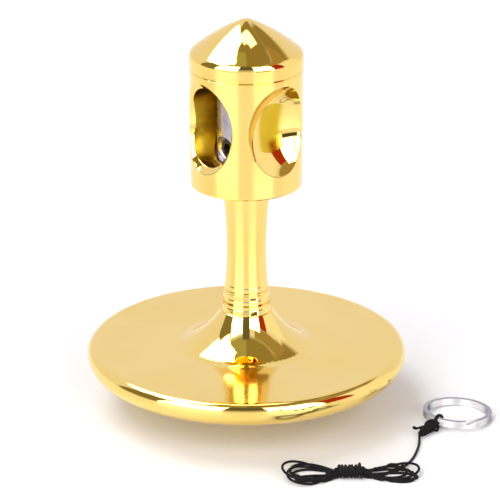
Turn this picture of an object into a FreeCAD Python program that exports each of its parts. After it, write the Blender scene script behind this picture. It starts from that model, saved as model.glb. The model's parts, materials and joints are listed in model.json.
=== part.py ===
import FreeCAD, Part

import math
import os
import re

import Sketcher
from FreeCAD import Placement, Rotation, Vector

# A pull-cord spinning top. A heavy disc and its waisted stem turn on a ball tip. The grip on top is
# held still between finger and thumb, and runs on two ball bearings round the disc's spindle.
# The origin is the tip's contact point, +Z runs up the spin axis, the grip's window opens along
# X and its two finger dishes face along Y. Threads are plain cylinders at their mean diameter.

DOC = FreeCAD.newDocument("SpinningTop")
SHEET_NAME = "Sizes"
SHEET = DOC.addObject("Spreadsheet::Sheet", SHEET_NAME)

SIZES = [
    ("fit_gap", 0.01, "radial gap between fitted faces"),
    ("edge_break", 0.15, "chamfer on turned edges"),
    # Flywheel disc
    ("disc_radius", 30.2, "widest radius of the disc"),
    ("disc_top_z", 11.82, "flat top face"),
    ("disc_bottom_z", 6.9, "flat underside"),
    ("disc_edge_round", 1.65, "rounding of the top edge"),
    ("disc_foot_radius", 27.6, "where the rounded side meets the underside"),
    ("hub_top_radius", 4.85, "top of the flared hub"),
    ("hub_top_z", 18.8, "height of the hub's top"),
    ("hub_foot_radius", 12.4, "where the hub's flare meets the top face"),
    ("hub_flare_round", 16.8, "radius of the flare's curve"),
    ("hub_blend_round", 4.0, "blend of the flare into the top face"),
    ("hub_bore_radius", 3.6, "bore for the stem's spigot and the tip holder"),
    # Stem
    ("stem_waist_radius", 3.73, "narrowest point"),
    ("stem_waist_z", 31.0, "height of the narrowest point"),
    ("stem_top_radius", 4.66, "radius under the grip"),
    ("stem_top_z", 43.65, "shoulder under the grip"),
    ("stem_spigot_z", 8.5, "lower end of the spigot"),
    ("stem_foot_radius", 4.74, "stem at the hub, a small step inside it"),
    # Spindle and tip
    ("spindle_radius", 2.5, "steel shaft"),
    ("spindle_bottom_z", 5.8, "lower end in the tip holder"),
    ("spindle_top_z", 69.3, "upper end under the cap"),
    ("clip_groove_depth", 0.15, "groove of the retaining ring"),
    ("clip_thickness", 0.5, "retaining ring thickness"),
    ("clip_radius", 3.3, "retaining ring outside radius"),
    ("clip_gap", 2.6, "opening between the retaining ring's ends"),
    ("tip_ball_radius", 2.5, "ball that the top spins on"),
    ("holder_mouth_z", 1.9, "lower rim of the tip holder"),
    ("holder_mouth_radius", 3.1, "outside radius at the rim"),
    ("holder_flange_radius", 5.6, "flange against the disc"),
    ("holder_flange_height", 1.2, "flange below the disc's underside"),
    ("flange_seat_depth", 0.3, "shallow recess in the disc that the flange sits in"),
    ("flange_room", 0.1, "radial room round the flange in that recess"),
    ("holder_top_z", 8.4, "top of the threaded shank"),
    # Ball bearings
    ("bearing_radius", 5.5, "outside radius"),
    ("bearing_width", 3.0, "width"),
    ("race_inner_radius", 3.3, "outside radius of the inner race"),
    ("race_outer_radius", 4.75, "inside radius of the outer race"),
    ("ball_pitch_radius", 4.0, "circle of the ball centres"),
    ("ball_radius", 0.9, "bearing ball"),
    ("groove_radius", 0.94, "ball groove"),
    ("cage_inner_radius", 3.6, "inside of the ball cage"),
    ("cage_outer_radius", 4.45, "outside of the ball cage"),
    ("cage_drop", 1.15, "cage below the ball centres"),
    ("cage_rise", 0.2, "cage above the ball centres"),
    ("cage_pocket_gap", 0.03, "play of a ball in its pocket"),
    ("shield_thickness", 0.2, "bearing shield"),
    ("shield_inner_radius", 3.4, "hole of a bearing shield"),
    ("lower_bearing_z", 46.7, "mid-plane of the lower bearing"),
    ("upper_bearing_z", 66.5, "mid-plane of the upper bearing"),
    # Sleeve between the bearings and its set screw
    ("sleeve_radius", 5.45, "sleeve seen through the window"),
    ("sleeve_relief", 0.3, "height of the bosses that touch the inner races"),
    ("screw_z", 51.5, "height of the set screw"),
    ("screw_radius", 1.75, "set screw, mean of its thread"),
    ("screw_length", 2.0, "set screw length"),
    ("screw_socket_flats", 2.0, "hexagon socket across flats"),
    ("screw_socket_depth", 1.3, "depth of the socket"),
    ("screw_hole_mouth", 2.0, "radius of the countersunk mouth"),
    ("spot_face_radius", 2.6, "flat milled round the screw hole"),
    ("spot_face_depth", 0.75, "depth of that flat at its middle"),
    # Grip barrel
    ("barrel_radius", 10.54, "outside radius at the seam"),
    ("barrel_foot_radius", 10.45, "outside radius at the lower edge"),
    ("barrel_bottom_z", 43.95, "lower edge"),
    ("barrel_edge_round", 0.35, "rounding of the lower edge"),
    ("barrel_bore_radius", 5.9, "bore round the sleeve"),
    ("barrel_mouth_radius", 4.9, "hole in the floor round the stem"),
    ("seam_z", 66.5, "joint of the barrel and the cap"),
    ("grip_mid_z", 56.6, "middle of the dishes and the window"),
    ("dish_radius", 11.1, "spherical radius of a finger dish"),
    ("dish_floor_radius", 6.4, "distance from the axis to a dish's floor"),
    ("dish_rim_round", 0.2, "polished rounding of the dish rims"),
    ("window_half_width", 5.35, "half width of the round-ended window"),
    ("window_half_height", 7.47, "half height of the window"),
    ("spigot_radius", 8.3, "threaded spigot of the cap"),
    ("spigot_bottom_z", 64.3, "lower end of the spigot"),
    ("spigot_room", 0.1, "depth left under the spigot"),
    # Grip cap
    ("cap_skirt_radius", 10.58, "cap at the seam"),
    ("cap_shoulder_radius", 10.7, "corner of the cap's shoulder, before its rounding"),
    ("cap_shoulder_z", 69.4, "height of the shoulder corner"),
    ("cap_shoulder_round", 1.85, "rounding of the shoulder"),
    ("cap_apex_z", 75.75, "top of the cap"),
    ("cap_flat_radius", 0.6, "small flat turned at the tip of the cap"),
    ("cap_apex_round", 2.4, "rounding of that flat into the dome"),
    ("cap_dome_round", 37.5, "radius of the dome's generating curve"),
    ("cap_relief_radius", 4.8, "hollow above the upper bearing"),
    ("cap_relief_z", 70.2, "top of that hollow"),
    # Pull cord and its finger ring, laid out beside the disc
    ("cord_heading", -39.0, "direction of the hank, degrees from +X"),
    ("cord_radius", 0.24, "pull cord"),
    ("hank_x", 18.85, "middle of the hank along the heading"),
    ("hank_y", -34.6, "middle of the hank across the heading"),
    ("hank_length", 25.6, "overall length of the hank"),
    ("hank_width", 9.6, "width across the loops"),
    ("hank_thickness", 2.0, "thickness of the loops"),
    ("hank_round", 0.9, "rounding of the loops' outline in the solid"),
    ("waist_width", 2.4, "width of the hank under its wrap"),
    ("wrap_length", 4.8, "length of the wrapped band"),
    ("ring_x", 39.8, "middle of the finger ring along the heading"),
    ("ring_y", -9.0, "middle of the finger ring across the heading"),
    ("ring_radius", 6.05, "mean radius of the split ring"),
    ("ring_wire_width", 0.85, "radial width of the ring's wire"),
    ("ring_wire_height", 0.62, "thickness of the ring's wire"),
    ("ring_coil_gap", 0.02, "gap between the ring's two coils"),
    ("ring_step_angle", 24.0, "angle over which the wire steps up, degrees"),
    ("ring_step_turn", 75.0, "direction of that step from the knot, degrees"),
    ("knot_angle", 230.0, "direction from the ring's middle to the knot, degrees"),
    ("knot_eye_radius", 1.15, "mean radius of the eye round the ring"),
    ("knot_start", 1.1, "start of the coiled knot beyond the ring's wire circle"),
    ("knot_length", 4.6, "length of the coiled knot"),
    ("knot_radius", 1.1, "radius of the coiled knot"),
    ("tail_end_x", 29.9, "where the tail enters the hank, along the heading"),
    ("tail_end_y", -29.6, "where the tail enters the hank, across the heading"),
]

BALL_COUNT = 9
RING_STEP_POINTS = 12
DISH_COUNT = 4
TOLERANCE = 1e-4
EXPRESSION_WORDS = ("sqrt", "sin", "cos")


def fill_sheet():
    """Write every driving size, with its alias and note, into the sheet."""
    for row, (alias, value, note) in enumerate(SIZES, start=1):
        SHEET.set("A%d" % row, alias)
        SHEET.set("B%d" % row, str(value))
        SHEET.set("C%d" % row, note)
        SHEET.setAlias("B%d" % row, alias)
    DOC.recompute()


def bound(expression):
    """Point each size name in an expression at its cell in the sheet."""
    def qualify(match):
        word = match.group()
        return word if word in EXPRESSION_WORDS else SHEET_NAME + "." + word
    return re.sub(r"[a-z][a-z_]+", qualify, expression)


def size(expression):
    """The number that an expression of sizes stands for."""
    return float(SHEET.evalExpression(bound(expression)))


# Sketches and features ------------------------------------------------------------------------

def new_body(label):
    body = DOC.addObject("PartDesign::Body", label)
    body.Label = label
    return body


def origin_feature(body, role):
    return next(item for item in body.Origin.OriginFeatures if item.Role == role)


def new_sketch(body, name, plane="XZ_Plane"):
    sketch = body.newObject("Sketcher::SketchObject", body.Label + "_" + name)
    sketch.AttachmentSupport = [(origin_feature(body, plane), "")]
    sketch.MapMode = "FlatFace"
    return sketch


def bind_datum(sketch, constraint, expression):
    """Add a dimension to a sketch and drive it from the sheet."""
    index = sketch.addConstraint(constraint)
    sketch.setExpression("Constraints[%d]" % index, bound(expression))


def pin_point(sketch, edge, end, across, up):
    """Fix one sketch point at a place given by two expressions of sizes."""
    if across == "0":
        sketch.addConstraint(Sketcher.Constraint("PointOnObject", edge, end, -2))
    else:
        bind_datum(sketch, Sketcher.Constraint("DistanceX", -1, 1, edge, end, size(across)), across)
    if up == "0":
        sketch.addConstraint(Sketcher.Constraint("PointOnObject", edge, end, -1))
    else:
        bind_datum(sketch, Sketcher.Constraint("DistanceY", -1, 1, edge, end, size(up)), up)


def arc_between(start, end, radius, side):
    """The shorter arc from start to end; side is 1 with its middle to the left of travel, else -1."""
    chord = end - start
    height = math.sqrt(radius * radius - chord.Length * chord.Length / 4)
    normal = Vector(-chord.y, chord.x, 0).normalize()
    centre = start + chord * 0.5 + normal * height * side
    first, last = (start, end) if side > 0 else (end, start)
    angles = [math.atan2(point.y - centre.y, point.x - centre.x) for point in (first, last)]
    return Part.ArcOfCircle(Part.Circle(centre, Vector(0, 0, 1), radius), angles[0], angles[1])


def draw_outline(sketch, corners):
    """Draw a closed outline. A corner is (across, up) or (across, up, radius, side), all but side
    expressions of sizes; with a radius, the edge to the next corner is an arc."""
    points = [Vector(size(corner[0]), size(corner[1]), 0) for corner in corners]
    count = len(corners)
    ends = []
    for index, corner in enumerate(corners):
        start = points[index]
        end = points[(index + 1) % count]
        if len(corner) == 2:
            edge = sketch.addGeometry(Part.LineSegment(start, end))
            ends.append((edge, 1, 2))
            continue
        radius, side = corner[2:]
        edge = sketch.addGeometry(arc_between(start, end, size(radius), side))
        bind_datum(sketch, Sketcher.Constraint("Radius", edge, size(radius)), radius)
        ends.append((edge, 1, 2) if side > 0 else (edge, 2, 1))
    for index, corner in enumerate(corners):
        edge, first, _ = ends[index]
        previous, _, last = ends[index - 1]
        sketch.addConstraint(Sketcher.Constraint("Coincident", previous, last, edge, first))
        pin_point(sketch, edge, first, corner[0], corner[1])


def revolve(body, sketch):
    turned = body.newObject("PartDesign::Revolution", body.Label + "_turned")
    turned.Profile = sketch
    turned.ReferenceAxis = (sketch, ["V_Axis"])
    turned.Angle = 360
    sketch.Visibility = False
    DOC.recompute()
    return turned


def turned_body(label, corners):
    """A body turned about Z from one closed outline of radius and height."""
    body = new_body(label)
    sketch = new_sketch(body, "profile")
    draw_outline(sketch, corners)
    revolve(body, sketch)
    return body


def circle_edges(shape, radius, height):
    """Names of the edges that circle the axis at a given radius and height."""
    names = []
    for number, edge in enumerate(shape.Edges, start=1):
        if edge.Degenerated or not isinstance(edge.Curve, Part.Circle):
            continue
        curve = edge.Curve
        centre = curve.Center
        on_axis = math.hypot(centre.x, centre.y) < TOLERANCE
        if on_axis and abs(curve.Radius - radius) < TOLERANCE and abs(centre.z - height) < TOLERANCE:
            names.append("Edge%d" % number)
    return names



def dress(body, kind, name, edges, amount):
    """Add a Fillet or a Chamfer to a body's tip, its size driven by an expression."""
    base = body.Tip
    feature = body.newObject("PartDesign::" + kind, body.Label + "_" + name)
    feature.Base = (base, edges)
    feature.setExpression("Radius" if kind == "Fillet" else "Size", bound(amount))
    base.Visibility = False
    DOC.recompute()
    return feature


def dress_circle(body, kind, name, radius, height, amount):
    edges = circle_edges(body.Tip.Shape, size(radius), size(height))
    assert edges, "no circle for " + name
    return dress(body, kind, name, edges, amount)


def lift(item, height):
    """Set an object's height from the sheet."""
    item.setExpression("Placement.Base.z", bound(height))


def cut_from(body, kind, name, sketch, **settings):
    """Add a Pocket or a Groove, and make sure that it took material away."""
    before = body.Tip.Shape.Volume
    feature = body.newObject("PartDesign::" + kind, body.Label + "_" + name)
    feature.Profile = sketch
    for key, value in settings.items():
        setattr(feature, key, value)
    sketch.Visibility = False
    DOC.recompute()
    assert feature.Shape.Volume < before - TOLERANCE, name + " cuts nothing"
    return feature


def primitive(kind, name, **sizes):
    """A Part primitive whose sizes are expressions of the sheet's sizes."""
    item = DOC.addObject("Part::" + kind, name)
    for key, expression in sizes.items():
        item.setExpression(key, bound(expression))
    return item


def boolean(kind, name, base, tool):
    """A Part boolean of two objects, or of a list of objects for a MultiFuse."""
    item = DOC.addObject("Part::" + kind, name)
    if kind == "MultiFuse":
        item.Shapes = base
    else:
        item.Base = base
        item.Tool = tool
    return item


# Flywheel ---------------------------------------------------------------------------------------

def flywheel_disc():
    """Heavy disc with a flared hub, bored for the stem above and the tip holder below."""
    seat_z = "disc_bottom_z + flange_seat_depth"
    disc = turned_body("flywheel_disc", [
        ("hub_bore_radius", seat_z),
        ("holder_flange_radius + flange_room", seat_z),
        ("holder_flange_radius + flange_room", "disc_bottom_z"),
        ("disc_foot_radius", "disc_bottom_z",
         "((disc_top_z - disc_edge_round - disc_bottom_z)^2 + (disc_radius - disc_foot_radius)^2)"
         " / (2 * (disc_radius - disc_foot_radius))", 1),
        ("disc_radius", "disc_top_z - disc_edge_round", "disc_edge_round", 1),
        ("disc_radius - disc_edge_round", "disc_top_z"),
        ("hub_foot_radius", "disc_top_z", "hub_flare_round", -1),
        ("hub_top_radius", "hub_top_z"),
        ("hub_bore_radius", "hub_top_z"),
    ])
    dress_circle(disc, "Fillet", "hub_blend", "hub_foot_radius", "disc_top_z", "hub_blend_round")
    dress_circle(disc, "Chamfer", "hub_edge", "hub_top_radius", "hub_top_z", "edge_break")
    return disc


def stem():
    """Waisted neck that the cord is wound on, with a spigot into the disc's hub."""
    waist_curve = ("((%s)^2 + (%s - stem_waist_radius)^2) / (2 * (%s - stem_waist_radius))")
    lower_curve = waist_curve % ("stem_waist_z - hub_top_z", "stem_foot_radius", "stem_foot_radius")
    upper_curve = waist_curve % ("stem_top_z - stem_waist_z", "stem_top_radius", "stem_top_radius")
    neck = turned_body("stem", [
        ("spindle_radius + fit_gap", "stem_spigot_z"),
        ("hub_bore_radius - fit_gap", "stem_spigot_z"),
        ("hub_bore_radius - fit_gap", "hub_top_z"),
        ("stem_foot_radius", "hub_top_z", lower_curve, -1),
        ("stem_waist_radius", "stem_waist_z", upper_curve, -1),
        ("stem_top_radius", "stem_top_z"),
        ("race_inner_radius", "stem_top_z"),
        ("race_inner_radius", "lower_bearing_z - bearing_width / 2"),
        ("spindle_radius + fit_gap", "lower_bearing_z - bearing_width / 2"),
    ])
    dress_circle(neck, "Chamfer", "top_edge", "stem_top_radius", "stem_top_z", "edge_break")
    return neck


def spindle():
    """Steel shaft that carries both bearings, grooved for the retaining ring."""
    clip_z = "upper_bearing_z + bearing_width / 2"
    shaft = turned_body("spindle", [
        ("0", "spindle_bottom_z"),
        ("spindle_radius", "spindle_bottom_z"),
        ("spindle_radius", clip_z),
        ("spindle_radius - clip_groove_depth", clip_z),
        ("spindle_radius - clip_groove_depth", clip_z + " + clip_thickness"),
        ("spindle_radius", clip_z + " + clip_thickness"),
        ("spindle_radius", "spindle_top_z"),
        ("0", "spindle_top_z"),
    ])
    dress_circle(shaft, "Chamfer", "upper_end", "spindle_radius", "spindle_top_z", "edge_break")
    dress_circle(shaft, "Chamfer", "lower_end", "spindle_radius", "spindle_bottom_z", "edge_break")
    return shaft


def retaining_ring():
    """Open ring in the spindle's groove, above the upper bearing's inner race."""
    ring = turned_body("retaining_ring", [
        ("spindle_radius - clip_groove_depth + fit_gap", "0"),
        ("clip_radius", "0"),
        ("clip_radius", "clip_thickness"),
        ("spindle_radius - clip_groove_depth + fit_gap", "clip_thickness"),
    ])
    gap = new_sketch(ring, "gap", "XY_Plane")
    draw_outline(gap, [
        ("0", "0 - clip_gap / 2"),
        ("clip_radius + edge_break", "0 - clip_gap / 2"),
        ("clip_radius + edge_break", "clip_gap / 2"),
        ("0", "clip_gap / 2"),
    ])
    cut_from(ring, "Pocket", "opening", gap, Type="ThroughAll", Reversed=True)
    lift(ring, "upper_bearing_z + bearing_width / 2")
    return ring


def tip_holder():
    """Screwed plug under the disc that holds the ball and takes the spindle's end."""
    socket = "tip_ball_radius + fit_gap"
    seat_z = "disc_bottom_z + flange_seat_depth"
    flange_z = "disc_bottom_z - holder_flange_height"
    mouth = "sqrt((%s)^2 - (tip_ball_radius - holder_mouth_z)^2)" % socket
    holder = turned_body("tip_holder", [
        (mouth, "holder_mouth_z"),
        ("holder_mouth_radius", "holder_mouth_z"),
        ("holder_flange_radius - holder_flange_height", flange_z),
        ("holder_flange_radius", flange_z),
        ("holder_flange_radius", seat_z),
        ("hub_bore_radius - fit_gap", seat_z),
        ("hub_bore_radius - fit_gap", "holder_top_z"),
        ("spindle_radius + fit_gap", "holder_top_z"),
        ("spindle_radius + fit_gap", "spindle_bottom_z"),
        ("0", "spindle_bottom_z"),
        ("0", "tip_ball_radius + " + socket, socket, -1),
    ])
    dress_circle(holder, "Chamfer", "flange_edge", "holder_flange_radius", flange_z, "edge_break")
    return holder


def tip_ball():
    """Hard ball that the top stands and spins on."""
    ball = primitive("Sphere", "tip_ball", Radius="tip_ball_radius")
    lift(ball, "tip_ball_radius")
    return ball


# Ball bearings, each drawn round its own mid-plane ----------------------------------------------

def grooved_race(label, wall, face, groove_side, height):
    """A bearing race between two radii, with a ball groove in its face."""
    centre = "(ball_pitch_radius %s (ball_radius + fit_gap - groove_radius))"
    centre = centre % ("-" if groove_side > 0 else "+")
    half_groove = "sqrt(groove_radius^2 - (%s - %s)^2)" % (centre, face)
    race = turned_body(label, [
        (wall, "0 - bearing_width / 2"),
        (face, "0 - bearing_width / 2"),
        (face, "0 - " + half_groove, "groove_radius", -groove_side),
        (face, half_groove),
        (face, "bearing_width / 2"),
        (wall, "bearing_width / 2"),
    ])
    lift(race, height)
    return race


def inner_race(label, height):
    return grooved_race(label, "spindle_radius + fit_gap", "race_inner_radius", 1, height)


def outer_race(label, height):
    return grooved_race(label, "bearing_radius", "race_outer_radius", -1, height)


def ring_of_balls(name, radius):
    """Balls evenly spaced round the pitch circle."""
    balls = []
    for index in range(BALL_COUNT):
        ball = primitive("Sphere", "%s_%d" % (name, index), Radius=radius)
        angle = "(%d * 360 / %d)" % (index, BALL_COUNT)
        ball.setExpression("Placement.Base.x", bound("ball_pitch_radius * cos" + angle))
        ball.setExpression("Placement.Base.y", bound("ball_pitch_radius * sin" + angle))
        balls.append(ball)
    return boolean("MultiFuse", name, balls, None)


def bearing_balls(label, height):
    balls = ring_of_balls(label, "ball_radius")
    lift(balls, height)
    return balls


def ball_cage(label, height):
    """Crown cage: a ring under the balls with a round pocket for each."""
    rim_height = "cage_drop + cage_rise"
    outside = primitive("Cylinder", label + "_outside", Radius="cage_outer_radius", Height=rim_height)
    inside = primitive("Cylinder", label + "_inside", Radius="cage_inner_radius", Height=rim_height)
    for item in (outside, inside):
        lift(item, "0 - cage_drop")
    rim = boolean("Cut", label + "_rim", outside, inside)
    pockets = ring_of_balls(label + "_pockets", "ball_radius + cage_pocket_gap")
    cage = boolean("Cut", label, rim, pockets)
    lift(cage, height)
    return cage


def bearing_shields(label, height):
    """The two thin shields at a bearing's faces, seated in its outer race."""
    shields = []
    faces = (("lower", "0 - bearing_width / 2"), ("upper", "bearing_width / 2 - shield_thickness"))
    for side, foot in faces:
        plate = primitive("Cylinder", "%s_%s_plate" % (label, side),
                          Radius="race_outer_radius", Height="shield_thickness")
        hole = primitive("Cylinder", "%s_%s_hole" % (label, side),
                         Radius="shield_inner_radius", Height="shield_thickness")
        for item in (plate, hole):
            lift(item, foot)
        shields.append(boolean("Cut", "%s_%s" % (label, side), plate, hole))
    pair = boolean("MultiFuse", label, shields, None)
    lift(pair, height)
    return pair


# Sleeve and set screw ---------------------------------------------------------------------------

def spindle_sleeve():
    """Steel spacer between the inner races, spot-faced and tapped for a set screw."""
    bottom = "lower_bearing_z + bearing_width / 2"
    top = "upper_bearing_z - bearing_width / 2"
    sleeve = turned_body("spindle_sleeve", [
        ("spindle_radius + fit_gap", bottom),
        ("race_inner_radius", bottom),
        ("race_inner_radius", bottom + " + sleeve_relief"),
        ("sleeve_radius", bottom + " + sleeve_relief"),
        ("sleeve_radius", top + " - sleeve_relief"),
        ("race_inner_radius", top + " - sleeve_relief"),
        ("race_inner_radius", top),
        ("spindle_radius + fit_gap", top),
    ])
    edges = circle_edges(sleeve.Tip.Shape, size("sleeve_radius"), size(bottom + " + sleeve_relief"))
    edges += circle_edges(sleeve.Tip.Shape, size("sleeve_radius"), size(top + " - sleeve_relief"))
    dress(sleeve, "Chamfer", "ends", edges, "edge_break")
    flat = "0 - sleeve_radius + spot_face_depth"
    cuts = (
        ("spot_face", "spot_face_radius", "0 - sleeve_radius - edge_break", flat),
        ("tapped_hole", "screw_radius", flat, "0"),
    )
    for name, radius, start, end in cuts:
        sketch = new_sketch(sleeve, name, "YZ_Plane")
        sketch.AttachmentOffset = Placement(Vector(0, 0, size(end)), Rotation())
        sketch.setExpression("AttachmentOffset.Base.z", bound(end))
        middle = Vector(0, size("screw_z"), 0)
        circle = sketch.addGeometry(Part.Circle(middle, Vector(0, 0, 1), size(radius)))
        pin_point(sketch, circle, 3, "0", "screw_z")
        bind_datum(sketch, Sketcher.Constraint("Radius", circle, size(radius)), radius)
        depth = "%s - (%s)" % (end, start)
        pocket = cut_from(sleeve, "Pocket", name, sketch, Type="Length", Length=size(depth))
        pocket.setExpression("Length", bound(depth))
    mouth = "screw_hole_mouth - screw_radius"
    dress(sleeve, "Chamfer", "mouth", mouth_edges(sleeve.Tip.Shape), mouth)
    return sleeve


def mouth_edges(shape):
    """The round edge where the tapped hole opens in the spot face."""
    flat_x = size("0 - sleeve_radius + spot_face_depth")
    names = []
    for number, edge in enumerate(shape.Edges, start=1):
        if edge.Degenerated or not isinstance(edge.Curve, Part.Circle):
            continue
        fits_hole = abs(edge.Curve.Radius - size("screw_radius")) < TOLERANCE
        if fits_hole and abs(edge.Curve.Center.x - flat_x) < TOLERANCE:
            names.append("Edge%d" % number)
    return names


def sleeve_set_screw():
    """Short socket screw in the sleeve, with its point against the spindle."""
    screw = new_body("sleeve_set_screw")
    blank = new_sketch(screw, "blank", "YZ_Plane")
    shank = "screw_radius - fit_gap"
    circle = blank.addGeometry(Part.Circle(Vector(0, 0, 0), Vector(0, 0, 1), size(shank)))
    blank.addConstraint(Sketcher.Constraint("Coincident", circle, 3, -1, 1))
    bind_datum(blank, Sketcher.Constraint("Radius", circle, size(shank)), shank)
    pad = screw.newObject("PartDesign::Pad", "sleeve_set_screw_pad")
    pad.Profile = blank
    pad.setExpression("Length", bound("screw_length"))
    blank.Visibility = False
    DOC.recompute()
    socket = new_sketch(screw, "socket", "YZ_Plane")
    socket.AttachmentOffset = Placement(Vector(0, 0, size("screw_length - screw_socket_depth")), Rotation())
    socket.setExpression("AttachmentOffset.Base.z", bound("screw_length - screw_socket_depth"))
    corner = "screw_socket_flats / sqrt(3)"
    draw_outline(socket, [
        ("%s * cos(%d * 60)" % (corner, index), "%s * sin(%d * 60)" % (corner, index))
        for index in range(6)
    ])
    cut_from(screw, "Pocket", "hexagon", socket, Type="ThroughAll", Reversed=True)
    screw.Placement = Placement(Vector(0, 0, 0), Rotation(Vector(0, 0, 1), 180))
    screw.setExpression("Placement.Base.x", bound("0 - spindle_radius - fit_gap"))
    lift(screw, "screw_z")
    return screw


# Grip -------------------------------------------------------------------------------------------

def grip_barrel():
    """Barrel of the grip: stepped bore, four dishes, and a window right through two of them."""
    floor_z = "lower_bearing_z - bearing_width / 2"
    seat_z = "lower_bearing_z + bearing_width / 2"
    counterbore_z = "spigot_bottom_z - spigot_room"
    barrel = turned_body("grip_barrel", [
        ("barrel_mouth_radius", "barrel_bottom_z"),
        ("barrel_foot_radius", "barrel_bottom_z"),
        ("barrel_radius", "seam_z"),
        ("spigot_radius + fit_gap", "seam_z"),
        ("spigot_radius + fit_gap", counterbore_z),
        ("barrel_bore_radius", counterbore_z),
        ("barrel_bore_radius", seat_z),
        ("bearing_radius + fit_gap", seat_z),
        ("bearing_radius + fit_gap", floor_z),
        ("barrel_mouth_radius", floor_z),
    ])
    dress_circle(barrel, "Fillet", "foot", "barrel_foot_radius", "barrel_bottom_z", "barrel_edge_round")
    dress_circle(barrel, "Chamfer", "seam", "barrel_radius", "seam_z", "edge_break")
    sink_dishes(barrel)
    cut_window(barrel)
    dress(barrel, "Fillet", "rims", rim_edges(barrel.Tip.Shape), "dish_rim_round")
    return barrel


def sink_dishes(barrel):
    """Four spherical dishes round the barrel; two stay blind for the fingers."""
    dish = barrel.newObject("PartDesign::SubtractiveSphere", "finger_dish")
    dish.setExpression("Radius", bound("dish_radius"))
    dish.setExpression("Placement.Base.y", bound("0 - dish_floor_radius - dish_radius"))
    lift(dish, "grip_mid_z")
    DOC.recompute()
    ring = barrel.newObject("PartDesign::PolarPattern", "finger_dishes")
    ring.Originals = [dish]
    ring.Axis = (origin_feature(barrel, "Z_Axis"), [""])
    ring.Angle = 360
    ring.Occurrences = DISH_COUNT
    before = barrel.Tip.Shape.Volume
    barrel.Tip = ring
    DOC.recompute()
    assert ring.Shape.Volume < before - TOLERANCE, "the dishes were not repeated"


def cut_window(barrel):
    """Round-ended window along X, through the two dishes that open it to the sleeve."""
    side = "window_half_width"
    top_z = "grip_mid_z + window_half_height"
    bottom_z = "grip_mid_z - window_half_height"
    sketch = new_sketch(barrel, "window", "YZ_Plane")
    draw_outline(sketch, [
        (side, bottom_z + " + " + side),
        (side, top_z + " - " + side, side, 1),
        ("0", top_z, side, 1),
        ("0 - " + side, top_z + " - " + side),
        ("0 - " + side, bottom_z + " + " + side, side, 1),
        ("0", bottom_z, side, 1),
    ])
    cut_from(barrel, "Pocket", "window_cut", sketch, Type="ThroughAll", SideType="Symmetric")


def rim_edges(shape):
    """Rims of the dishes and of the window: every edge round them that lies outside the bore."""
    inner_limit = size("barrel_bore_radius + dish_rim_round")
    names = []
    for number, edge in enumerate(shape.Edges, start=1):
        box = edge.BoundBox
        middle = edge.valueAt((edge.FirstParameter + edge.LastParameter) / 2)
        beside_grip = abs(box.Center.z - size("grip_mid_z")) < size("window_half_height")
        if beside_grip and box.ZLength > TOLERANCE and math.hypot(middle.x, middle.y) > inner_limit:
            names.append("Edge%d" % number)
    return names


def grip_cap():
    """Domed cap with a threaded spigot that seats the upper bearing."""
    seat_z = "upper_bearing_z + bearing_width / 2"
    cap = turned_body("grip_cap", [
        ("bearing_radius + fit_gap", "spigot_bottom_z"),
        ("spigot_radius", "spigot_bottom_z"),
        ("spigot_radius", "seam_z"),
        ("cap_skirt_radius", "seam_z"),
        ("cap_shoulder_radius", "cap_shoulder_z", "cap_dome_round", 1),
        ("cap_flat_radius", "cap_apex_z"),
        ("0", "cap_apex_z"),
        ("0", "cap_relief_z"),
        ("cap_relief_radius", "cap_relief_z"),
        ("cap_relief_radius", seat_z),
        ("bearing_radius + fit_gap", seat_z),
    ])
    dress_circle(cap, "Fillet", "shoulder", "cap_shoulder_radius", "cap_shoulder_z", "cap_shoulder_round")
    dress_circle(cap, "Fillet", "apex", "cap_flat_radius", "cap_apex_z", "cap_apex_round")
    dress_circle(cap, "Chamfer", "seam", "cap_skirt_radius", "seam_z", "edge_break")
    return cap


# Pull cord, drawn along X and Y, then turned about Z to its heading ------------------------------

def set_heading(item):
    """Turn an object that is drawn in the cord's layout to the cord's heading."""
    item.Placement = Placement(Vector(0, 0, 0), Rotation(Vector(0, 0, 1), size("cord_heading")))
    item.setExpression("Placement.Rotation.Angle", bound("cord_heading"))


def rectangle(sketch, low_x, high_x, low_y, high_y):
    draw_outline(sketch, [(low_x, low_y), (high_x, low_y), (high_x, high_y), (low_x, high_y)])


def pad(body, name, sketch, length):
    feature = body.newObject("PartDesign::Pad", body.Label + "_" + name)
    feature.Profile = sketch
    feature.setExpression("Length", bound(length))
    sketch.Visibility = False
    DOC.recompute()
    return feature


def raised_sketch(body, name, height):
    """A sketch parallel to the floor, at a height given by an expression."""
    sketch = new_sketch(body, name, "XY_Plane")
    sketch.AttachmentOffset = Placement(Vector(0, 0, size(height)), Rotation())
    sketch.setExpression("AttachmentOffset.Base.z", bound(height))
    return sketch


def upright_edges(shape, length):
    """Names of the vertical edges of a given length."""
    names = []
    for number, edge in enumerate(shape.Edges, start=1):
        upright = abs(edge.BoundBox.ZLength - edge.Length) < TOLERANCE
        if upright and abs(edge.Length - length) < TOLERANCE:
            names.append("Edge%d" % number)
    return names


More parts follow.
